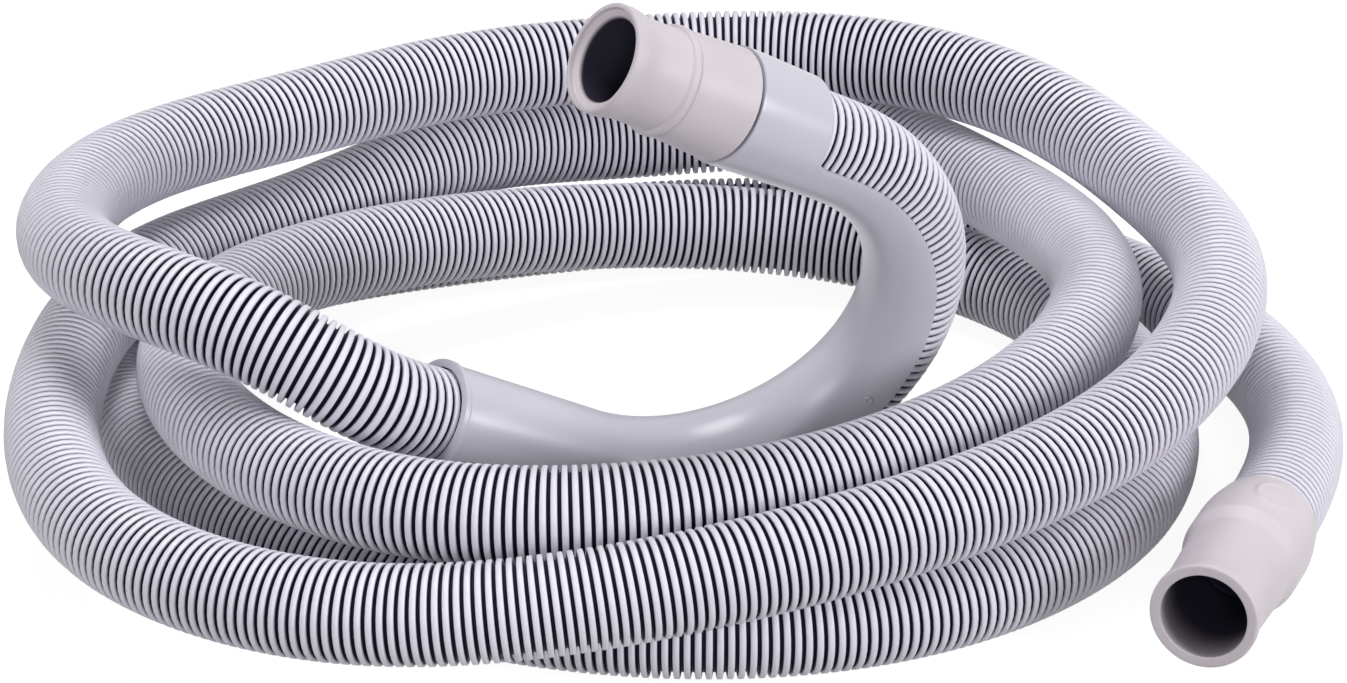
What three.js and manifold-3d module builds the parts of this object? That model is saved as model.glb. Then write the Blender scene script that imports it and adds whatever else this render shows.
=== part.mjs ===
// Washing machine drain hose, lying in a loose coil with the end in its hook-shaped hose guide.
// Millimetres, +Z up, origin on the floor under the middle of the coil.
import * as THREE from 'three';
import Module from 'manifold-3d';
import { mergeVertices } from 'three/addons/utils/BufferGeometryUtils.js';

const wasm = await Module();
wasm.setup();

// Clearances
const seatGap = 0.3; // radial gap between a round piece and the round piece it seats in
const endGap = 0.3; // gap between two faces that meet along an axis
const channelPlay = 0.4; // radial gap between the hose and the guide's channel

// Hose
const hoseDiameter = 27; // over the ridges
const hoseBore = 21.5;

// Outlet cuff, in the guide's collar: distances run from its mouth
const outletBore = 22.8;
const outletMouth = 27.2; // bore of the shallow step inside the rim
const outletStepDepth = 1.5;
const outletStepBevel = 1;
const outletLip = 30;
const outletLipLength = 5.5;
const outletEdge = 0.6; // bevel of the rim's outer edge
const outletNeck = 28;
const outletBeadAt = 19;
const outletBodyFront = 29.6; // the body widens from here to the collar
const outletBead = 30.6;
const outletBeadWidth = 2.4;
const outletBody = 31.8;
const outletStop = 27.7; // where the hose's end stops
const spigotWall = 0.9; // wall around the hose's end
const spigotEnd = 58;

// Guide: a collar on the outlet cuff, half a pipe around the bend, a ring at its lower end
const guideWall = 1.6;
const collarWall = 1.4;
const collarStart = 42.5; // from the outlet cuff's mouth
const collarLength = 24;
const bendRadius = 62;
const upperLeg = 83; // from the outlet cuff's mouth to the bend
const lowerLeg = 53; // from the bend to the guide's lower end
const ringLength = 3;
const ringWall = 2.3;
const windowCorner = 6;
const channelRise = 0; // how far the channel's sides stand past the hose's middle

// Inlet cuff, at the other end: distances run from its mouth
const inletBore = 23.6;
const inletEdge = 0.8; // bevel of the rim's edges
const inletLip = 29.8;
const inletLipLength = 2.6;
const inletNeck = 28.2;
const inletNeckAt = 8;
const inletFront = 29.8;
const inletFrontEnd = 33;
const inletBody = 33;
const inletBodyStart = 38;
const inletBodyEnd = 53;
const inletRear = 29.8;
const inletLength = 63;
const inletStop = 38; // where the hose's end stops

// How the guide lies: the middle of its bend, the way its upper leg runs, and its bend's outer side
const hookCentre = new THREE.Vector3(5.6, -59.2, 72.1);
const hookAlong = new THREE.Vector3(0.8, 0.464, -0.5);
const hookOutward = new THREE.Vector3(0.55, -0.124, 0.821);

// How the inlet cuff lies: its mouth's centre and the way its bore runs inward
const inletMouth = new THREE.Vector3(136.6, -140, 18.2);
const inletInward = new THREE.Vector3(0.37, 0.93, -0.03);

// The hose's centreline between the guide and the inlet cuff, clockwise around the coil's middle:
// distance from the middle and height above the floor, every turnStep degrees from turnStart
const coilMiddle = new THREE.Vector3(0.5, 1.7, 0);
const turnStart = -144;
const turnStep = 24;
const turns = [
  [141, 72], [176, 78], [172, 74.5], [149, 72], [143, 71],
  [145, 70], [150, 71], [151, 69.5], [151, 62], [154, 58],
  [150, 52], [146, 46], [149, 41.5], [162, 35], [184, 29],
  [197, 32], [182, 39.5], [164, 42.5], [147, 40], [148, 42.5],
  [160, 37], [160, 41.5], [138, 43.5], [125, 47], [119, 49],
  [114, 48], [113, 46], [118, 44], [130, 43], [144, 42],
  [149, 41.4], [147, 41.4], [134, 39], [117, 35], [110, 30],
  [113, 25], [122, 20], [130, 16], [133, 13.6], [135, 13.6],
  [139, 13.6], [141, 13.6], [141, 13.6], [139, 13.6], [139, 13.6],
  [144, 13.6], [157, 13.6], [171, 13.6], [163, 13.6], [145, 13.6],
  [142, 13.6], [151, 13.6], [162, 13.6], [170, 13.6], [177, 14],
];

// Places worked out from the sizes
const hoseRadius = hoseDiameter / 2;
const socketRadius = hoseRadius + seatGap;
const spigotRadius = socketRadius + spigotWall;
const collarBore = spigotRadius + seatGap;
const channelRadius = hoseRadius + channelPlay;
const channelOuter = channelRadius + guideWall;
const collarOuter = collarBore + collarWall;
const bendLength = Math.PI * bendRadius;
const guideEnd = upperLeg + bendLength + lowerLeg;

// Fineness of the round shapes
const turnedSides = 32;
const sweptSides = 24;
const hoseSides = 12;
const boreSides = 8;
const stepsPerSpan = 2;
const bendSpans = 12;
const leadIn = 10; // straight stretch next to the bend
const leadOut = 14; // straight stretch past the guide's lower end
const overcut = 1; // how far a cutting shape runs past what it cuts
const windowReach = 40;

// A centreline whose steps fall evenly between the chosen points, so that turns side by side
// have their facets side by side too
class Centreline extends THREE.CatmullRomCurve3 {
  getUtoTmapping(u) {
    return u;
  }
}

function polygon(radius, sides, Shape = THREE.Shape) {
  const corners = [];
  for (let side = 0; side < sides; side++) {
    const angle = 2 * Math.PI * side / sides;
    corners.push(new THREE.Vector2(radius * Math.cos(angle), radius * Math.sin(angle)));
  }
  return new Shape(corners);
}

function swept(section, points) {
  const centreline = new Centreline(points, false, 'centripetal');
  return new THREE.ExtrudeGeometry(section, {
    extrudePath: centreline,
    steps: stepsPerSpan * (points.length - 1),
  });
}

// A closed outline of [distance along the X axis, radius], turned about the X axis
function turned(outline) {
  const points = [...outline, outline[0]].map(([along, radius]) => new THREE.Vector2(radius, along));
  return new THREE.LatheGeometry(points, turnedSides).rotateZ(-Math.PI / 2);
}

function solidOf(geometry) {
  geometry.deleteAttribute('normal');
  geometry.deleteAttribute('uv');
  const merged = mergeVertices(geometry, 1e-4);
  return new wasm.Manifold(new wasm.Mesh({
    numProp: 3,
    vertProperties: merged.attributes.position.array,
    triVerts: merged.index.array,
  }));
}

function geometryOf(solid) {
  const mesh = solid.getMesh();
  const geometry = new THREE.BufferGeometry();
  geometry.setAttribute('position', new THREE.BufferAttribute(mesh.vertProperties, 3));
  geometry.setIndex(new THREE.BufferAttribute(mesh.triVerts, 1));
  geometry.computeVertexNormals();
  return geometry;
}

function named(name, geometry, material) {
  const mesh = new THREE.Mesh(geometry, material);
  mesh.name = name;
  return mesh;
}

// A group whose X axis runs along one direction and whose Y axis leans towards another
function placed(position, along, towards) {
  const x = along.clone().normalize();
  const z = x.clone().cross(towards).normalize();
  const y = z.clone().cross(x);
  const group = new THREE.Group();
  group.position.copy(position);
  group.quaternion.setFromRotationMatrix(new THREE.Matrix4().makeBasis(x, y, z));
  group.updateMatrixWorld();
  return group;
}

// A point on the guide's centreline, by its distance from the outlet cuff's mouth. The guide's own
// frame has the bend's middle at its origin, the upper leg along +X and the bend in the XY plane.
function hookPoint(distance) {
  const past = distance - upperLeg;
  if (past <= 0) {
    return new THREE.Vector3(past, bendRadius, 0);
  }
  if (past < bendLength) {
    const angle = past / bendRadius;
    return new THREE.Vector3(bendRadius * Math.sin(angle), bendRadius * Math.cos(angle), 0);
  }
  return new THREE.Vector3(bendLength - past, -bendRadius, 0);
}

function hookPoints(start, end) {
  const points = [hookPoint(start), hookPoint(upperLeg - leadIn)];
  for (let span = 0; span <= bendSpans; span++) {
    points.push(hookPoint(upperLeg + bendLength * span / bendSpans));
  }
  points.push(hookPoint(upperLeg + bendLength + leadIn), hookPoint(end));
  return points;
}

// Outlet cuff: rim with a shallow step, neck, bead, body up to the collar, and a spigot inside it
function outletCuff() {
  const bodyEnd = collarStart - endGap;
  return turned([
    [0, outletMouth / 2],
    [0, outletLip / 2 - outletEdge],
    [outletEdge, outletLip / 2],
    [outletLipLength, outletLip / 2],
    [outletLipLength + outletEdge, outletNeck / 2],
    [outletBeadAt, outletNeck / 2],
    [outletBeadAt + outletBeadWidth / 2, outletBead / 2],
    [outletBeadAt + outletBeadWidth, outletBodyFront / 2],
    [bodyEnd, outletBody / 2],
    [bodyEnd, spigotRadius],
    [spigotEnd, spigotRadius],
    [spigotEnd, socketRadius],
    [outletStop, socketRadius],
    [outletStop, outletBore / 2],
    [outletStepDepth + outletStepBevel, outletBore / 2],
    [outletStepDepth, outletMouth / 2],
  ]).translate(-upperLeg, bendRadius, 0);
}

// Inlet cuff: flared rim, waisted front, bevelled shoulder, body and a rounded rear
function inletCuff() {
  return turned([
    [0, inletBore / 2 + inletEdge],
    [0, inletLip / 2 - inletEdge],
    [inletEdge, inletLip / 2],
    [inletLipLength, inletLip / 2],
    [inletNeckAt, inletNeck / 2],
    [inletFrontEnd, inletFront / 2],
    [inletBodyStart, inletBody / 2],
    [inletBodyEnd, inletBody / 2],
    [inletLength - inletEdge, inletRear / 2],
    [inletLength, inletRear / 2 - inletEdge / 2],
    [inletLength, socketRadius],
    [inletStop, socketRadius],
    [inletStop, inletBore / 2],
    [inletEdge, inletBore / 2],
  ]);
}

// The guide's open side, seen square to the bend: everything outside the channel's edge, from the
// collar's end to the ring at the lower end, with rounded corners
function windowCutter() {
  const edge = bendRadius + channelRise;
  const far = bendRadius + windowReach;
  const start = collarStart + collarLength - upperLeg;
  const end = -lowerLeg + ringLength;
  const startAngle = Math.acos((start + windowCorner) / edge);
  const startHeight = edge * Math.sin(startAngle);
  const outline = new THREE.Shape();
  outline.moveTo(start, far);
  outline.lineTo(start, startHeight + windowCorner);
  outline.absarc(start + windowCorner, startHeight + windowCorner, windowCorner, Math.PI, 1.5 * Math.PI);
  outline.absarc(0, 0, edge, startAngle, -Math.PI / 2, true);
  outline.absarc(end + windowCorner, -edge - windowCorner, windowCorner, Math.PI / 2, Math.PI);
  outline.lineTo(end, -far);
  outline.lineTo(far, -far);
  outline.lineTo(far, far);
  const depth = 2 * windowReach;
  const cutter = new THREE.ExtrudeGeometry(outline, { depth, bevelEnabled: false, curveSegments: sweptSides });
  return cutter.translate(0, 0, -depth / 2);
}

function hoseGuide() {
  const spigotRoom = spigotEnd + endGap;
  const collar = turned([
    [collarStart, 0],
    [collarStart, collarOuter],
    [upperLeg, channelOuter],
    [upperLeg, 0],
  ]).translate(-upperLeg, bendRadius, 0);
  const ring = turned([
    [-lowerLeg, 0],
    [-lowerLeg, channelRadius + ringWall],
    [-lowerLeg + ringLength, channelRadius + ringWall],
    [-lowerLeg + ringLength, 0],
  ]).translate(0, -bendRadius, 0);
  const spigotHole = turned([
    [collarStart - overcut, 0],
    [collarStart - overcut, collarBore],
    [spigotRoom, collarBore],
    [spigotRoom, 0],
  ]).translate(-upperLeg, bendRadius, 0);
  const pipe = swept(polygon(channelOuter, sweptSides), hookPoints(spigotRoom, guideEnd));
  const hole = swept(polygon(channelRadius, sweptSides), hookPoints(spigotRoom - overcut, guideEnd + overcut));
  return geometryOf(solidOf(pipe)
    .add(solidOf(collar))
    .add(solidOf(ring))
    .subtract(solidOf(windowCutter()))
    .subtract(solidOf(spigotHole))
    .subtract(solidOf(hole)));
}

// Hose: from the stop in the outlet cuff, through the guide, around the coil and into the inlet cuff
function corrugatedHose(hook, inlet) {
  const points = [...hookPoints(outletStop + endGap, guideEnd), hookPoint(guideEnd + leadOut)]
    .map((point) => hook.localToWorld(point));
  turns.forEach(([distance, height], index) => {
    const angle = THREE.MathUtils.degToRad(turnStart - turnStep * index);
    points.push(new THREE.Vector3(distance * Math.cos(angle), distance * Math.sin(angle), height).add(coilMiddle));
  });
  for (const depth of [inletLength + leadIn, inletLength, inletStop + endGap]) {
    points.push(inlet.localToWorld(new THREE.Vector3(depth, 0, 0)));
  }
  const section = polygon(hoseRadius, hoseSides);
  section.holes.push(polygon(hoseBore / 2, boreSides, THREE.Path));
  return swept(section, points);
}

const hosePlastic = new THREE.MeshStandardMaterial({ color: 0xc9c9d3, roughness: 0.4, metalness: 0 });
const cuffRubber = new THREE.MeshStandardMaterial({ color: 0xbdb8bb, roughness: 0.6, metalness: 0 });
const guidePlastic = new THREE.MeshStandardMaterial({ color: 0xb9bcc8, roughness: 0.35, metalness: 0 });

const hook = placed(hookCentre, hookAlong, hookOutward);
hook.add(named('outlet_cuff', outletCuff(), cuffRubber));
hook.add(named('hose_guide', hoseGuide(), guidePlastic));

const inlet = placed(inletMouth, inletInward, new THREE.Vector3(0, 0, 1));
inlet.add(named('inlet_cuff', inletCuff(), cuffRubber));

const group = new THREE.Group();
group.add(named('corrugated_hose', corrugatedHose(hook, inlet), hosePlastic), hook, inlet);

export default group;
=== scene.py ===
# Washing machine drain hose in a loose coil: a ribbed hose, a soft cuff at each end and a hook guide.
# Sizes and places are written in millimetres and turned into metres where a mesh is made.
import math

import bmesh
import bpy
import numpy as np
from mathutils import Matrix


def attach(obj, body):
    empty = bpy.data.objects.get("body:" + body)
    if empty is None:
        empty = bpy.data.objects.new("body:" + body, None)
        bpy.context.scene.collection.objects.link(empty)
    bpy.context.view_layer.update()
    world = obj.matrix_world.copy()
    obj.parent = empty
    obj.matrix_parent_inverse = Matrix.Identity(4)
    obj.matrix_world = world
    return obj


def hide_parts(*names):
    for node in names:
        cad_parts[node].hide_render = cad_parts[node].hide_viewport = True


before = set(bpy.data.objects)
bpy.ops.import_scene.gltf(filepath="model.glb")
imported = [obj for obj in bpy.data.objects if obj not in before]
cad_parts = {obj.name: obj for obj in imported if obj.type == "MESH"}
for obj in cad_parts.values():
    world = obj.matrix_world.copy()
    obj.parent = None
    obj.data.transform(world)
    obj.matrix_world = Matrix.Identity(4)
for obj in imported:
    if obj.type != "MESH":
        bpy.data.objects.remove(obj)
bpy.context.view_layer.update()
print("frame loaded")

metre = 0.001  # one millimetre, in Blender's metres

# Each piece's sizes: diameters, and distances along it from its mouth, unless they say otherwise
hoseSize = {
    "diameter": 27.0,  # over the ridges
    "bore": 21.5,
    "pitch": 2.7,  # from one ridge to the next
    "grooveDepth": 1.9,
    "sides": 32,
    "boreStep": 8.0,  # spacing of the plain rings inside
    "lineStep": 0.25,  # spacing of the points kept on the centreline
    "pathStep": 4.0,  # spacing of the points on the path that each run returns
    "runs": 5,  # the ribs are shared out over this many meshes
}
outletSize = {
    "bore": 22.8,
    "mouth": 27.2,
    "mouthFoot": 26.8,
    "stepDepth": 1.5,
    "stepFoot": 24.0,
    "stepFootAt": 1.8,
    "stepEnd": 2.5,
    "lip": 30.0,
    "lipBack": 3.7,  # the lip's outside runs straight to here
    "neckFrom": 8.5,
    "neck": 28.0,
    "beadAt": 19.0,
    "beadTop": 19.6,
    "beadEnd": 21.4,
    "bead": 30.6,
    "bodyFrom": 21.8,
    "bodyFront": 29.6,  # the body widens from here to the collar
    "body": 31.8,
    "stop": 27.7,
    "socket": 27.6,
    "spigot": 29.4,
    "spigotEnd": 58.0,
    "seam": 0.6,  # the gap between the cuff's body and the collar, darkened with painted shade
    "seamShadeReach": (0.2, 3.0),  # how far the painted shade goes on the body's end and on the spigot
    "boreMargin": 0.5,  # what still counts as inside the bore, past its radius
    # the painted shade in the bore comes in over this length, from the step's foot
    "shadeFadeLength": 1.5,
    "sides": 128,
}
guideSize = {
    "collarStart": 42.5,
    "collarLength": 24.0,
    "collarBore": 30.0,
    "collarOuter": 32.8,
    "channelBore": 27.8,
    "wall": 1.6,
    "bendRadius": 62.0,
    "upperLeg": 83.0,
    "lowerLeg": 53.0,
    "ringLength": 3.0,
    "ringOuter": 32.4,
    "windowCorner": 6.0,
    "ringRiseAt": 0.8,  # past the ring's start, the outside rises to the ring over ringRise
    "ringRise": 0.6,
    "boreStepLength": 0.5,  # the collar's bore narrows to the channel's over this
    "squareReach": 24,  # this far past the window's corners the rows are square to the guide again
    "aroundPoints": 41,
    "rowCounts": {"collar": 40, "rim": 16, "corner": 9, "side": 190, "ring": 22},
    "edgeWidth": 0.4,
    "edgeSegments": 3,
    "edgeAngle": 50,
}
inletSize = {
    "bore": 23.6,
    "lip": 29.8,
    "lipLength": 2.6,
    "neck": 28.2,
    "neckAt": 8.0,
    "front": 29.8,
    "frontEnd": 33.0,
    "body": 33.0,
    "bodyStart": 38.0,
    "bodyEnd": 53.0,
    "rear": 29.8,
    "length": 63.0,
    "stop": 38.0,
    "socket": 27.6,
    "oval": {"along": 51.0, "angle": 0.35, "length": 13.0, "width": 10.0, "height": 0.5, "ridge": 0.13},
    # Painted shade in the bore: what counts as inside, and where and how steeply it darkens with depth
    "boreMargin": 0.4,
    "shadeFadeStart": -0.5,
    "shadeFadeLength": 18.0,
    "shadeFadePower": 0.6,
    "sides": 200,
}
endGap = 0.3  # what a piece's end keeps clear of the stop or rim it faces

# How the guide and the inlet cuff lie
hookPlace = {"centre": (5.6, -59.2, 72.1), "along": (0.8, 0.464, -0.5), "outward": (0.55, -0.124, 0.821)}
inletPlace = {"mouth": (136.6, -140, 18.2), "inward": (0.37, 0.93, -0.03)}

# The hose's centreline between them, clockwise around the coil's middle: distance from the middle
# and height above the floor, every turnStep degrees from turnStart
coilMiddle = (0.5, 1.7, 0)
turnStart = -144
turnStep = 24
turns = [
    (141, 72), (176, 78), (172, 74.5), (149, 72), (143, 71),
    (145, 70), (150, 71), (151, 69.5), (151, 62), (154, 58),
    (150, 52), (146, 46), (149, 41.5), (162, 35), (184, 29),
    (197, 32), (182, 39.5), (164, 42.5), (147, 40), (148, 42.5),
    (160, 37), (160, 41.5), (138, 43.5), (125, 47), (119, 49),
    (114, 48), (113, 46), (118, 44), (130, 43), (144, 42),
    (149, 41.4), (147, 41.4), (134, 39), (117, 35), (110, 30),
    (113, 25), (122, 20), (130, 16), (133, 13.6), (135, 13.6),
    (139, 13.6), (141, 13.6), (141, 13.6), (139, 13.6), (139, 13.6),
    (144, 13.6), (157, 13.6), (171, 13.6), (163, 13.6), (145, 13.6),
    (142, 13.6), (151, 13.6), (162, 13.6), (170, 13.6), (177, 14),
]


# Places and directions
def unit(vectors):
    vectors = np.asarray(vectors, float)
    return vectors / np.linalg.norm(vectors, axis=-1, keepdims=True)


def axesFrom(along, towards):
    # Three unit rows: x runs along, y leans towards, z is square to both
    x = unit(along)
    z = unit(np.cross(x, towards))
    return np.array([x, np.cross(z, x), z])


hookAxes = axesFrom(hookPlace["along"], hookPlace["outward"])
inletAxes = axesFrom(inletPlace["inward"], (0, 0, 1))
bendLength = math.pi * guideSize["bendRadius"]
guideEnd = guideSize["upperLeg"] + bendLength + guideSize["lowerLeg"]


def hookLine(distance):
    # Centre and outward direction on the guide's centreline, by distance from the outlet cuff's
    # mouth: a straight leg, then radius * (sin a, cos a) around the bend, then a straight leg
    past = np.asarray(distance, float) - guideSize["upperLeg"]
    angle = np.clip(past / guideSize["bendRadius"], 0, math.pi)
    straight = np.minimum(past, 0) - np.maximum(past - bendLength, 0)
    outward = np.stack([np.sin(angle), np.cos(angle), 0 * angle], axis=-1)
    centre = guideSize["bendRadius"] * outward
    centre[..., 0] += straight
    return np.array(hookPlace["centre"]) + centre @ hookAxes, outward @ hookAxes


def inletPoint(depth):
    return np.array(inletPlace["mouth"]) + depth * inletAxes[0]


# Camera and light
cameraSize = {"lens": 117.6, "sensor": 36, "place": (-0.0035, -1.1733, 0.558), "tilt": 66,
              "nearest": 0.05, "farthest": 20}


def addCamera():
    data = bpy.data.cameras.new("camera")
    data.sensor_width = cameraSize["sensor"]
    data.lens = cameraSize["lens"]
    data.clip_start = cameraSize["nearest"]
    data.clip_end = cameraSize["farthest"]
    camera = bpy.data.objects.new("camera", data)
    camera.location = cameraSize["place"]
    camera.rotation_euler = (math.radians(cameraSize["tilt"]), 0, 0)
    bpy.context.scene.collection.objects.link(camera)
    bpy.context.scene.camera = camera


lightSize = {
    "worldLight": 0.13,
    "floorBounce": 0.25,  # the floor's own colour, as it lights the hose
    "floorGlow": 0.92,  # what the floor adds to it where the camera or a reflection sees it
    "floorReach": 6,
    "floorRoughness": 0.9,
    "lamps": [
        # name, place, aim, width, power in watts
        ("rightLamp", (1.5, -0.7, 0.5), (0, 0, 0.05), 0.6, 15.5),
        ("leftLamp", (-1.3, -1.2, 0.6), (0, 0, 0.05), 0.7, 6),
        ("frontLamp", (0.0, -1.8, 0.6), (0, 0, 0.05), 0.7, 10.5),
        ("topLamp", (-0.1, 0.25, 1.85), (0, 0, 0), 1.0, 20.5),
    ],
}


def seenRays(nodes, links):
    # 1 for the rays that show a surface to the camera, straight, mirrored or through glass
    rays = nodes.new("ShaderNodeLightPath")
    mirrored = nodes.new("ShaderNodeMath")
    mirrored.operation = "MAXIMUM"
    links.new(rays.outputs["Is Glossy Ray"], mirrored.inputs[0])
    links.new(rays.outputs["Is Transmission Ray"], mirrored.inputs[1])
    seen = nodes.new("ShaderNodeMath")
    seen.operation = "MAXIMUM"
    links.new(rays.outputs["Is Camera Ray"], seen.inputs[0])
    links.new(mirrored.outputs[0], seen.inputs[1])
    return seen.outputs[0]


def addLight():
    for name, place, aim, width, power in lightSize["lamps"]:
        data = bpy.data.lights.new(name, "AREA")
        data.shape = "DISK"
        data.size = width
        data.energy = power
        lamp = bpy.data.objects.new(name, data)
        lamp.location = place
        ray = np.array(aim) - np.array(place)
        lamp.rotation_euler = (math.acos(-ray[2] / np.linalg.norm(ray)), 0, math.atan2(-ray[0], ray[1]))
        bpy.context.scene.collection.objects.link(lamp)
    world = bpy.data.worlds.new("studio")
    bpy.context.scene.world = world
    world.use_nodes = True
    nodes, links = world.node_tree.nodes, world.node_tree.links
    nodes.clear()
    level = nodes.new("ShaderNodeMix")
    level.inputs["A"].default_value = lightSize["worldLight"]
    level.inputs["B"].default_value = 1.0
    links.new(seenRays(nodes, links), level.inputs["Factor"])
    background = nodes.new("ShaderNodeBackground")
    background.inputs["Color"].default_value = (1, 1, 1, 1)
    links.new(level.outputs["Result"], background.inputs["Strength"])
    output = nodes.new("ShaderNodeOutputWorld")
    links.new(background.outputs[0], output.inputs[0])


def addFloor():
    far = lightSize["floorReach"]
    mesh = bpy.data.meshes.new("floor")
    mesh.from_pydata([(-far, -far, 0), (far, -far, 0), (far, far, 0), (-far, far, 0)], [], [(0, 1, 2, 3)])
    floor = bpy.data.objects.new("floor", mesh)
    bpy.context.scene.collection.objects.link(floor)
    paint = bpy.data.materials.new("floorPaint")
    paint.use_nodes = True
    nodes, links = paint.node_tree.nodes, paint.node_tree.links
    surface = nodes["Principled BSDF"]
    bounce = lightSize["floorBounce"]
    surface.inputs["Base Color"].default_value = (bounce, bounce, bounce, 1)
    surface.inputs["Roughness"].default_value = lightSize["floorRoughness"]
    surface.inputs["Specular IOR Level"].default_value = 0
    surface.inputs["Emission Color"].default_value = (1, 1, 1, 1)
    glow = nodes.new("ShaderNodeMath")
    glow.operation = "MULTIPLY"
    glow.inputs[1].default_value = lightSize["floorGlow"]
    links.new(seenRays(nodes, links), glow.inputs[0])
    links.new(glow.outputs[0], surface.inputs["Emission Strength"])
    mesh.materials.append(paint)


bpy.context.scene.view_settings.view_transform = "Standard"
addCamera()
addLight()
addFloor()
print("camera, light and floor made")


# Materials
plasticSize = {
    "ior": 1.49,
    "grainHeight": 0.0002,
    "patchDetail": 4,
    "patchRange": (0.35, 0.65),  # the noise values that give the one colour and the other
    "grainDetail": 3,
    "grainRoughness": 0.6,
    "grainRange": (0.3, 0.7),
    "shine": 0.5,
    "shineInShade": 0.05,
}


def mouldedGroup():
    # Moulded plastic: cloudy patches between two colours, and a fine grain for roughness and height
    group = bpy.data.node_groups.new("mouldedPlastic", "ShaderNodeTree")
    sockets = group.interface
    for name, kind in (("Light Colour", "NodeSocketColor"), ("Dark Colour", "NodeSocketColor"),
                       ("Patch Scale", "NodeSocketFloat"), ("Grain Scale", "NodeSocketFloat"),
                       ("Smooth Roughness", "NodeSocketFloat"), ("Rough Roughness", "NodeSocketFloat")):
        sockets.new_socket(name, in_out="INPUT", socket_type=kind)
    for name, kind in (("Colour", "NodeSocketColor"), ("Roughness", "NodeSocketFloat"),
                       ("Grain", "NodeSocketFloat")):
        sockets.new_socket(name, in_out="OUTPUT", socket_type=kind)
    nodes, links = group.nodes, group.links
    inside = nodes.new("NodeGroupInput")
    outside = nodes.new("NodeGroupOutput")
    place = nodes.new("ShaderNodeTexCoord")
    patches = nodes.new("ShaderNodeTexNoise")
    patches.inputs["Detail"].default_value = plasticSize["patchDetail"]
    links.new(place.outputs["Object"], patches.inputs["Vector"])
    links.new(inside.outputs["Patch Scale"], patches.inputs["Scale"])
    grain = nodes.new("ShaderNodeTexNoise")
    grain.inputs["Detail"].default_value = plasticSize["grainDetail"]
    grain.inputs["Roughness"].default_value = plasticSize["grainRoughness"]
    links.new(place.outputs["Object"], grain.inputs["Vector"])
    links.new(inside.outputs["Grain Scale"], grain.inputs["Scale"])
    spread = nodes.new("ShaderNodeMapRange")
    spread.inputs["From Min"].default_value, spread.inputs["From Max"].default_value = plasticSize["patchRange"]
    links.new(patches.outputs["Fac"], spread.inputs["Value"])
    blend = nodes.new("ShaderNodeMix")
    blend.data_type = "RGBA"
    links.new(spread.outputs[0], blend.inputs["Factor"])
    links.new(inside.outputs["Light Colour"], blend.inputs["A"])
    links.new(inside.outputs["Dark Colour"], blend.inputs["B"])
    links.new(blend.outputs["Result"], outside.inputs["Colour"])
    finish = nodes.new("ShaderNodeMapRange")
    finish.inputs["From Min"].default_value, finish.inputs["From Max"].default_value = plasticSize["grainRange"]
    links.new(grain.outputs["Fac"], finish.inputs["Value"])
    links.new(inside.outputs["Smooth Roughness"], finish.inputs["To Min"])
    links.new(inside.outputs["Rough Roughness"], finish.inputs["To Max"])
    links.new(finish.outputs[0], outside.inputs["Roughness"])
    links.new(grain.outputs["Fac"], outside.inputs["Grain"])
    return group


mouldedPlastic = mouldedGroup()


def plasticMaterial(name, values):
    # One moulded plastic: values holds the two colours, the scales, the roughness and the bump
    material = bpy.data.materials.new(name)
    material.use_nodes = True
    nodes, links = material.node_tree.nodes, material.node_tree.links
    surface = nodes["Principled BSDF"]
    surface.inputs["IOR"].default_value = plasticSize["ior"]
    moulded = nodes.new("ShaderNodeGroup")
    moulded.node_tree = mouldedPlastic
    moulded.inputs["Light Colour"].default_value = (*values["light"], 1)
    moulded.inputs["Dark Colour"].default_value = (*values["dark"], 1)
    moulded.inputs["Patch Scale"].default_value = values["patchScale"]
    moulded.inputs["Grain Scale"].default_value = values["grainScale"]
    moulded.inputs["Smooth Roughness"].default_value = values["roughness"][0]
    moulded.inputs["Rough Roughness"].default_value = values["roughness"][1]
    links.new(moulded.outputs["Roughness"], surface.inputs["Roughness"])
    bump = nodes.new("ShaderNodeBump")
    bump.inputs["Strength"].default_value = values["bump"]
    bump.inputs["Distance"].default_value = plasticSize["grainHeight"]
    links.new(moulded.outputs["Grain"], bump.inputs["Height"])
    links.new(bump.outputs["Normal"], surface.inputs["Normal"])
    links.new(moulded.outputs["Colour"], surface.inputs["Base Color"])
    return material


def paintShadeBy(material, attribute, start, end, shade):
    # Painted shade: multiply the colour by the shade colour where the mesh's own attribute passes from start
    # to end, and take the shine away there too
    nodes, links = material.node_tree.nodes, material.node_tree.links
    surface = nodes["Principled BSDF"]
    source = nodes.new("ShaderNodeAttribute")
    source.attribute_name = attribute
    depth = nodes.new("ShaderNodeMapRange")
    depth.interpolation_type = "SMOOTHSTEP"
    depth.inputs["From Min"].default_value = start
    depth.inputs["From Max"].default_value = end
    links.new(source.outputs["Fac"], depth.inputs["Value"])
    deepen = nodes.new("ShaderNodeMix")
    deepen.data_type = "RGBA"
    deepen.blend_type = "MULTIPLY"
    deepen.inputs["B"].default_value = (*shade, 1)
    links.new(depth.outputs[0], deepen.inputs["Factor"])
    links.new(surface.inputs["Base Color"].links[0].from_socket, deepen.inputs["A"])
    links.new(deepen.outputs["Result"], surface.inputs["Base Color"])
    shine = nodes.new("ShaderNodeMapRange")
    shine.inputs["To Min"].default_value = plasticSize["shine"]
    shine.inputs["To Max"].default_value = plasticSize["shineInShade"]
    links.new(depth.outputs[0], shine.inputs["Value"])
    links.new(shine.outputs[0], surface.inputs["Specular IOR Level"])


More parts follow.
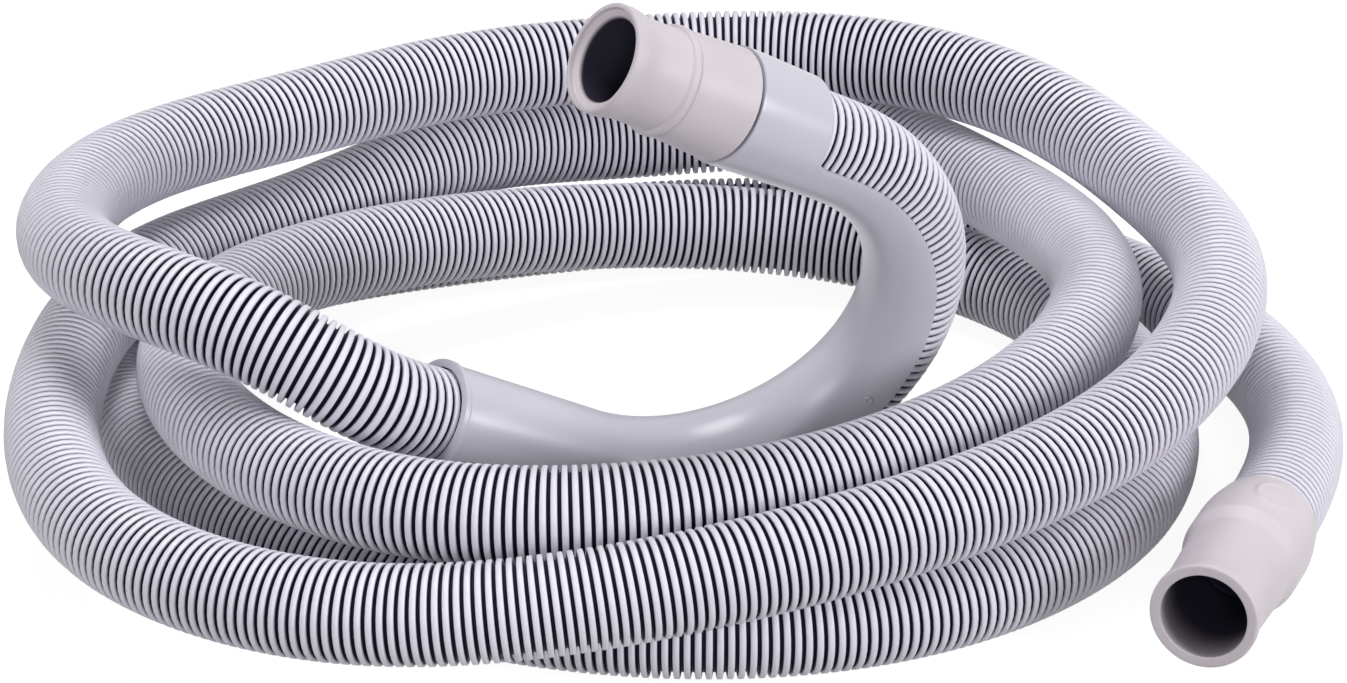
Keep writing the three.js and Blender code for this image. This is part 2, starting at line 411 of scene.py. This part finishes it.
guidePlastic = plasticMaterial("guidePlastic", {
    "light": (0.60, 0.585, 0.66), "dark": (0.55, 0.54, 0.62), "patchScale": 14, "grainScale": 900,
    "roughness": (0.28, 0.3), "bump": 0.01,
})
cuffRubber = plasticMaterial("cuffRubber", {
    "light": (0.64, 0.588, 0.628), "dark": (0.58, 0.53, 0.575), "patchScale": 22, "grainScale": 1400,
    "roughness": (0.42, 0.56), "bump": 0.12,
})
# Painted shade in the cuffs' bores and in the outlet cuff's gap at the collar, with the shine taken away there
paintShadeBy(cuffRubber, "paintedShade", 0.0, 1.0, (0.055, 0.053, 0.08))
hosePlastic = plasticMaterial("hosePlastic", {
    "light": (0.785, 0.762, 0.86), "dark": (0.725, 0.70, 0.80), "patchScale": 9, "grainScale": 700,
    "roughness": (0.38, 0.5), "bump": 0.05,
})
# Painted shade in the hose's grooves and its bore, with the shine taken away there
paintShadeBy(hosePlastic, "groove", 0.08, 0.55, (0.022, 0.02, 0.038))
print("materials made")


# Mesh making
def meshObject(name, points, faces, material, slot, *nodes):
    # points is any array of places in millimetres, faces an array of four corners each
    points = np.asarray(points, float).reshape(-1, 3) * metre
    mesh = bpy.data.meshes.new(name)
    mesh.vertices.add(len(points))
    mesh.vertices.foreach_set("co", points.ravel())
    mesh.loops.add(faces.size)
    mesh.loops.foreach_set("vertex_index", faces.ravel().astype(np.int32))
    mesh.polygons.add(len(faces))
    mesh.polygons.foreach_set("loop_start", np.arange(0, faces.size, 4, dtype=np.int32))
    mesh.update(calc_edges=True)
    mesh.shade_smooth()
    mesh.materials.append(material)
    piece = bpy.data.objects.new(name, mesh)
    bpy.context.scene.collection.objects.link(piece)
    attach(piece, "root")
    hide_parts(*nodes)
    return piece


def gridFaces(rows, columns, closedRows=True, closedColumns=True):
    # Four-cornered faces between neighbours of a grid, numbered row by row, wrapping where closed
    row = np.arange(rows if closedRows else rows - 1)[:, None]
    column = np.arange(columns if closedColumns else columns - 1)[None, :]
    nextRow = (row + 1) % rows
    nextColumn = (column + 1) % columns
    corners = [row * columns + column, row * columns + nextColumn,
               nextRow * columns + nextColumn, nextRow * columns + column]
    return np.stack([np.broadcast_to(c, (row.size, column.size)) for c in corners], axis=-1).reshape(-1, 4)


def roundedOutline(corners, spacing):
    # A closed outline of (along, radius, rounding): each corner becomes a parabola that touches
    # both its sides one rounding away from the corner, and long sides are divided at the spacing
    corners = np.asarray(corners, float)
    places = corners[:, :2]
    before = unit(np.roll(places, 1, axis=0) - places)
    after = unit(np.roll(places, -1, axis=0) - places)
    arcPoints = 7
    steps = np.linspace(0, 1, arcPoints)[None, :, None]
    rounding = corners[:, 2, None, None]
    arcs = (places[:, None] + (1 - steps) ** 2 * rounding * before[:, None]
            + steps ** 2 * rounding * after[:, None]).reshape(-1, 2)
    loop = np.vstack([arcs, arcs[:1]])
    along = np.concatenate([[0], np.cumsum(np.linalg.norm(np.diff(loop, axis=0), axis=1))])
    extra = np.arange(0, along[-1], spacing)
    gap = np.abs(extra[:, None] - along[None, :]).min(axis=1)
    where = np.sort(np.concatenate([along[:-1], extra[gap > spacing / 3]]))
    keep = np.concatenate([[True], np.diff(where) > 1e-4])
    return np.stack([np.interp(where[keep], along, loop[:, axis]) for axis in (0, 1)], axis=1)


def turnedPiece(name, outline, origin, axes, sides, material, slot, node, paintedShade, swell=None):
    # The outline turned about the x axis: origin + along * x + radius * (cos a * y + sin a * z),
    # with swell(along, radius, angle) added to radius. The shade function of (along, radius) is 1 where painted
    # shade darkens the inside
    angle = np.linspace(0, 2 * math.pi, sides, endpoint=False)[None, :]
    along = outline[:, 0, None] + 0 * angle
    radius = outline[:, 1, None] + 0 * angle
    if swell is not None:
        radius = radius + swell(along, radius, angle + 0 * along)
    points = (np.array(origin) + along[..., None] * axes[0]
              + radius[..., None] * (np.cos(angle)[..., None] * axes[1] + np.sin(angle)[..., None] * axes[2]))
    piece = meshObject(name, points, gridFaces(*along.shape), material, slot, node)
    # The painted-shade mask, kept on the points for the material
    attribute = piece.data.attributes.new("paintedShade", "FLOAT", "POINT")
    attribute.data.foreach_set("value", np.repeat(paintedShade(outline[:, 0], outline[:, 1]), sides))
    return piece


# The hose
def smoothLine(points, step):
    # A natural cubic spline: between two points the second derivative runs straight from its value
    # at one to its value at the other, and those values make the slopes agree at every point
    points = np.asarray(points, float)
    knots = np.concatenate([[0], np.cumsum(np.linalg.norm(np.diff(points, axis=0), axis=1))])
    span = np.diff(knots)
    slope = np.diff(points, axis=0) / span[:, None]
    system = np.eye(len(points))
    inner = np.arange(1, len(points) - 1)
    system[inner, inner - 1] = span[:-1]
    system[inner, inner] = 2 * (span[:-1] + span[1:])
    system[inner, inner + 1] = span[1:]
    wanted = np.zeros_like(points)
    wanted[1:-1] = 6 * np.diff(slope, axis=0)
    bend = np.linalg.solve(system, wanted)
    where = np.linspace(0, knots[-1], int(knots[-1] / step) + 1)
    index = np.clip(np.searchsorted(knots, where, side="right") - 1, 0, len(span) - 1)
    right = ((where - knots[index]) / span[index])[:, None]
    left = 1 - right
    return (left * points[index] + right * points[index + 1]
            + ((left ** 3 - left) * bend[index] + (right ** 3 - right) * bend[index + 1])
            * span[index, None] ** 2 / 6)


def hoseRoute():
    # From the stop in the outlet cuff, through the guide, around the coil and into the inlet cuff
    leadIn, leadOut, bendPoints = 10, 14, 13
    bendStart = guideSize["upperLeg"]
    stations = [outletSize["stop"] + endGap, bendStart - leadIn]
    stations += list(np.linspace(bendStart, bendStart + bendLength, bendPoints))
    stations += [bendStart + bendLength + leadIn, guideEnd, guideEnd + leadOut]
    first = hookLine(stations)[0]
    angle = np.radians(turnStart - turnStep * np.arange(len(turns)))
    distance, height = np.array(turns, float).T
    coil = np.stack([distance * np.cos(angle), distance * np.sin(angle), height], axis=1) + coilMiddle
    last = [inletPoint(depth) for depth in
            (inletSize["length"] + leadIn, inletSize["length"], inletSize["stop"] + endGap)]
    return smoothLine(np.vstack([first, coil, last]), hoseSize["lineStep"])


routeLine = hoseRoute()
routeAlong = np.concatenate([[0], np.cumsum(np.linalg.norm(np.diff(routeLine, axis=0), axis=1))])
routeSlope = unit(np.gradient(routeLine, axis=0))
hoseLength = routeAlong[-1]


def routeAt(along):
    # Centre, side and top directions of the hose at these distances from its outlet end
    centre = np.stack([np.interp(along, routeAlong, routeLine[:, axis]) for axis in range(3)], axis=1)
    ahead = unit(np.stack([np.interp(along, routeAlong, routeSlope[:, axis]) for axis in range(3)], axis=1))
    side = unit(np.cross(ahead, (0, 0, 1)))
    return centre, side, np.cross(side, ahead)


# One rib: share of the pitch, and depth below the ridge as a share of the groove's depth
ribShape = np.array([(0.00, 1.0), (0.115, 1.0), (0.17, 0.55), (0.215, 0.14),
                     (0.30, 0.0), (0.70, 0.0), (0.785, 0.14), (0.83, 0.55), (0.885, 1.0)])


def hoseRun(index, startRib, endRib, pitch):
    # Rings along the centreline: the ribbed outside from start to end, then the plain bore back again,
    # each ring centre + radius * (cos a * side + sin a * top)
    ribs = np.arange(startRib, endRib)
    along = ((ribs[:, None] + ribShape[None, :, 0]) * pitch).ravel()
    depth = np.tile(ribShape[:, 1], len(ribs))
    along = np.append(along, endRib * pitch)
    depth = np.append(depth, 1.0)
    radius = hoseSize["diameter"] / 2 - depth * hoseSize["grooveDepth"]
    rings = int((along[-1] - along[0]) / hoseSize["boreStep"])
    back = np.linspace(along[-1], along[0], rings)
    allAlong = np.concatenate([along, back])
    allRadius = np.concatenate([radius, np.full(rings, hoseSize["bore"] / 2)])
    groove = np.concatenate([depth, np.full(rings, 1.0)])
    centre, side, top = routeAt(allAlong)
    angle = np.linspace(0, 2 * math.pi, hoseSize["sides"], endpoint=False)
    around = np.cos(angle)[None, :, None] * side[:, None] + np.sin(angle)[None, :, None] * top[:, None]
    points = centre[:, None] + allRadius[:, None, None] * around
    faces = gridFaces(len(allAlong), hoseSize["sides"])
    piece = meshObject("hose_run_%d" % index, points, faces, hosePlastic, "hose_plastic", "corrugated_hose")
    # groove is the depth share below the ridge, 1 inside the bore; the material paints shade from it
    attribute = piece.data.attributes.new("groove", "FLOAT", "POINT")
    attribute.data.foreach_set("value", np.repeat(groove, hoseSize["sides"]))
    path = routeAt(np.append(np.arange(along[0], along[-1], hoseSize["pathStep"]), along[-1]))[0] * metre
    return piece, path, (along[-1] - along[0]) * metre


ribCount = int(round(hoseLength / hoseSize["pitch"]))
ribPitch = hoseLength / ribCount
ribLimits = np.linspace(0, ribCount, hoseSize["runs"] + 1).round().astype(int)
hoseRuns = [hoseRun(index + 1, ribLimits[index], ribLimits[index + 1], ribPitch)
            for index in range(hoseSize["runs"])]
print("hose made: %.2f m, %d ribs" % (hoseLength * metre, ribCount))


# The outlet cuff, in the guide's collar
def outletCuff():
    size = outletSize
    bodyEnd = guideSize["collarStart"] - size["seam"]
    outline = roundedOutline([
        # along, radius, rounding: the bore first, then the outside back to the mouth
        (0, size["mouth"] / 2, 0.25),
        (size["stepDepth"], size["mouthFoot"] / 2, 0.3),
        (size["stepFootAt"], size["stepFoot"] / 2, 0.3),
        (size["stepEnd"], size["bore"] / 2, 0.3),
        (size["stop"], size["bore"] / 2, 0.3),
        (size["stop"], size["socket"] / 2, 0.3),
        (size["spigotEnd"], size["socket"] / 2, 0.3),
        (size["spigotEnd"], size["spigot"] / 2, 0.3),
        (bodyEnd, size["spigot"] / 2, 0.3),
        (bodyEnd, size["body"] / 2, 0.5),
        (size["bodyFrom"], size["bodyFront"] / 2, 0.5),
        (size["beadEnd"], size["bead"] / 2, 0.7),
        (size["beadTop"], size["bead"] / 2, 0.7),
        (size["beadAt"], size["neck"] / 2, 0.5),
        (size["neckFrom"], size["neck"] / 2, 2.4),
        (size["lipBack"], size["lip"] / 2, 1.2),
        (0, size["lip"] / 2, 0.8),
    ], 1.0)
    origin, _ = hookLine(0.0)

    def paintedShade(along, radius):
        # Painted shade: in the bore from the foot of the shallow step inward, and in the gap where the body's
        # end meets the collar
        inside = radius < size["bore"] / 2 + size["boreMargin"]
        before, behind = size["seamShadeReach"]
        seam = (along > bodyEnd - before) & (along < bodyEnd + behind)
        return np.maximum(inside * np.clip((along - size["stepDepth"]) / size["shadeFadeLength"], 0, 1), seam)

    return turnedPiece("outlet_cuff_skin", outline, origin, hookAxes, size["sides"], cuffRubber,
                       "cuff_rubber", "outlet_cuff", paintedShade)


outletCuff()


# The inlet cuff
def inletCuff():
    size = inletSize
    outline = roundedOutline([
        # along, radius, rounding, in the same order
        (0, size["bore"] / 2, 0.5),
        (size["stop"], size["bore"] / 2, 0.3),
        (size["stop"], size["socket"] / 2, 0.3),
        (size["length"], size["socket"] / 2, 0.3),
        (size["length"], size["rear"] / 2, 0.6),
        (size["bodyEnd"], size["body"] / 2, 4.0),
        (size["bodyStart"], size["body"] / 2, 0.45),
        (size["frontEnd"], size["front"] / 2, 0.5),
        (size["neckAt"], size["neck"] / 2, 2.4),
        (size["lipLength"], size["lip"] / 2, 1.2),
        (0, size["lip"] / 2, 0.9),
    ], 0.8)

    def paintedShade(along, radius):
        # Painted shade in the bore: grey just inside the rim, darker with depth
        inside = radius < size["bore"] / 2 + size["boreMargin"]
        depth = np.clip((along - size["shadeFadeStart"]) / size["shadeFadeLength"], 0, 1)
        return inside * depth ** size["shadeFadePower"]

    def badge(along, radius, angle):
        # A raised oval ring on the body's top: height falls off on both sides of the ring where
        # (distance along / half length)^2 + (distance round / half width)^2 is 1
        oval = size["oval"]
        far = np.hypot((along - oval["along"]) / (oval["length"] / 2),
                       radius * (np.mod(angle - oval["angle"] + math.pi, 2 * math.pi) - math.pi)
                       / (oval["width"] / 2))
        outside = radius > size["neck"] / 2
        return outside * oval["height"] * np.exp(-((far - 1) / oval["ridge"]) ** 2)

    return turnedPiece("inlet_cuff_skin", outline, inletPoint(0), inletAxes, size["sides"], cuffRubber,
                       "cuff_rubber", "inlet_cuff", paintedShade, badge)


inletCuff()
print("cuffs made")


# The guide
def windowEdge():
    # The open side's edge as (distance along the guide, distance round it from the open side's middle):
    # closed along the collar, out round the window's end with a quarter-circle corner, along the
    # channel's side, and back the same way to the ring at the lower end
    size = guideSize
    quarter = (size["channelBore"] / 2 + size["wall"]) * math.pi / 2
    corner = size["windowCorner"]
    start = size["collarStart"] + size["collarLength"]
    end = guideEnd - size["ringLength"]
    count = size["rowCounts"]
    turn = np.linspace(0, math.pi / 2, count["corner"])
    collar = np.linspace(size["collarStart"], start, count["collar"])
    rim = np.linspace(0, quarter - corner, count["rim"])
    side = np.linspace(start + corner, end - corner, count["side"])
    ring = np.linspace(end, guideEnd, count["ring"])
    along = [collar, start + 0 * rim[1:], start + corner * (1 - np.cos(turn[1:])), side[1:],
             end - corner * (1 - np.cos(turn[::-1][1:])), end + 0 * rim[1:], ring[1:]]
    around = [0 * collar, rim[1:], quarter - corner * (1 - np.sin(turn[1:])), quarter + 0 * side[1:],
              quarter - corner * (1 - np.sin(turn[::-1][1:])), rim[::-1][1:], 0 * ring[1:]]
    along = np.concatenate(along)
    return along, np.concatenate(around) / quarter * math.pi / 2, start, end


def guideRadii(along):
    # Outer radius: the collar tapers to the channel, and the ring stands proud at the lower end.
    # Inner radius: the collar's bore up to the spigot's end, then the channel's
    size = guideSize
    channelOuter = size["channelBore"] / 2 + size["wall"]
    taper = np.clip((size["upperLeg"] - along) / (size["upperLeg"] - size["collarStart"]), 0, 1)
    taper = taper * taper * (3 - 2 * taper)
    ringStart = guideEnd - size["ringLength"] + size["ringRiseAt"]
    ringRise = np.clip((along - ringStart) / size["ringRise"], 0, 1)
    outer = channelOuter + taper * (size["collarOuter"] / 2 - channelOuter)
    outer = outer + ringRise * (size["ringOuter"] / 2 - channelOuter)
    boreEnd = outletSize["spigotEnd"] + endGap + size["boreStepLength"]
    inCollar = np.clip((boreEnd - along) / size["boreStepLength"], 0, 1)
    inner = size["channelBore"] / 2 + inCollar * (size["collarBore"] - size["channelBore"]) / 2
    return outer, inner


def guidePiece():
    # Rows run from the open side's edge, round to the back: along and angle go evenly from the
    # edge's values to the back's. The near and far halves are mirror images, joined where they meet
    edgeAlong, edgeAngle, start, end = windowEdge()
    rows = len(edgeAlong)
    reach = guideSize["squareReach"]
    firstOpen = np.flatnonzero(edgeAngle > 0)[0] - 1
    lastOpen = np.flatnonzero(edgeAngle > 0)[-1] + 1
    firstSquare = np.flatnonzero(edgeAlong > start + reach)[0]
    lastSquare = np.flatnonzero(edgeAlong < end - reach)[-1]
    number = np.arange(rows)
    known = (number <= firstOpen) | ((number >= firstSquare) & (number <= lastSquare)) | (number >= lastOpen)
    backAlong = np.interp(number, number[known], edgeAlong[known])
    share = np.linspace(0, 1, guideSize["aroundPoints"])[None, :]
    along = edgeAlong[:, None] + (backAlong - edgeAlong)[:, None] * share
    angle = edgeAngle[:, None] + (math.pi - edgeAngle)[:, None] * share
    centre, outward = hookLine(along)
    outer, inner = guideRadii(along)
    skins = []
    for mirror in (1, -1):
        around = np.cos(angle)[..., None] * outward + mirror * np.sin(angle)[..., None] * hookAxes[2]
        skins += [centre + outer[..., None] * around, centre + inner[..., None] * around]
    points = np.concatenate([skin.reshape(-1, 3) for skin in skins])
    columns = along.shape[1]
    block = rows * columns
    skinFaces = gridFaces(rows, columns, False, False)
    firstRow = np.arange(columns)
    lastRow = (rows - 1) * columns + firstRow
    faces = []
    for half in (0, 1):
        outerStart, innerStart = 2 * half * block, (2 * half + 1) * block
        faces += [skinFaces + outerStart, skinFaces + innerStart]
        for row in (firstRow, lastRow):
            faces.append(np.stack([row[:-1] + outerStart, row[1:] + outerStart,
                                   row[1:] + innerStart, row[:-1] + innerStart], axis=1))
        openRows = np.arange(firstOpen, lastOpen) * columns
        faces.append(np.stack([openRows + outerStart, openRows + columns + outerStart,
                               openRows + columns + innerStart, openRows + innerStart], axis=1))
    piece = meshObject("hose_guide_skin", points, np.concatenate(faces), guidePlastic,
                       "guide_plastic", "hose_guide")
    shape = bmesh.new()
    shape.from_mesh(piece.data)
    bmesh.ops.remove_doubles(shape, verts=shape.verts, dist=1e-6)
    bmesh.ops.recalc_face_normals(shape, faces=shape.faces)
    shape.to_mesh(piece.data)
    shape.free()
    bevel = piece.modifiers.new("softEdges", "BEVEL")
    bevel.width = guideSize["edgeWidth"] * metre
    bevel.segments = guideSize["edgeSegments"]
    bevel.limit_method = "ANGLE"
    bevel.angle_limit = math.radians(guideSize["edgeAngle"])
    return piece


guidePiece()

# A small raised ring that the moulding left on the guide, facing out of its surface
gateMark = {
    "place": (51.3, -46.85, 38.4), "facing": (0.014, -0.991, -0.131),
    "inner": 0.6, "outer": 1.3, "height": 0.6, "root": 0.5, "sides": 40,
}


def gateMarkPiece():
    size = gateMark
    outward = unit(np.array(size["facing"]))
    across = unit(np.cross(outward, (0, 0, 1)))
    outline = roundedOutline([
        (-size["root"], size["inner"], 0.05),
        (size["height"], size["inner"], 0.2),
        (size["height"], size["outer"], 0.2),
        (-size["root"], size["outer"], 0.05),
    ], 0.3)
    return turnedPiece("guide_gate_mark", outline, np.array(size["place"]),
                       (outward, across, np.cross(outward, across)), size["sides"], guidePlastic,
                       "guide_plastic", "hose_guide", lambda along, radius: 0 * along)


gateMarkPiece()
print("guide made")
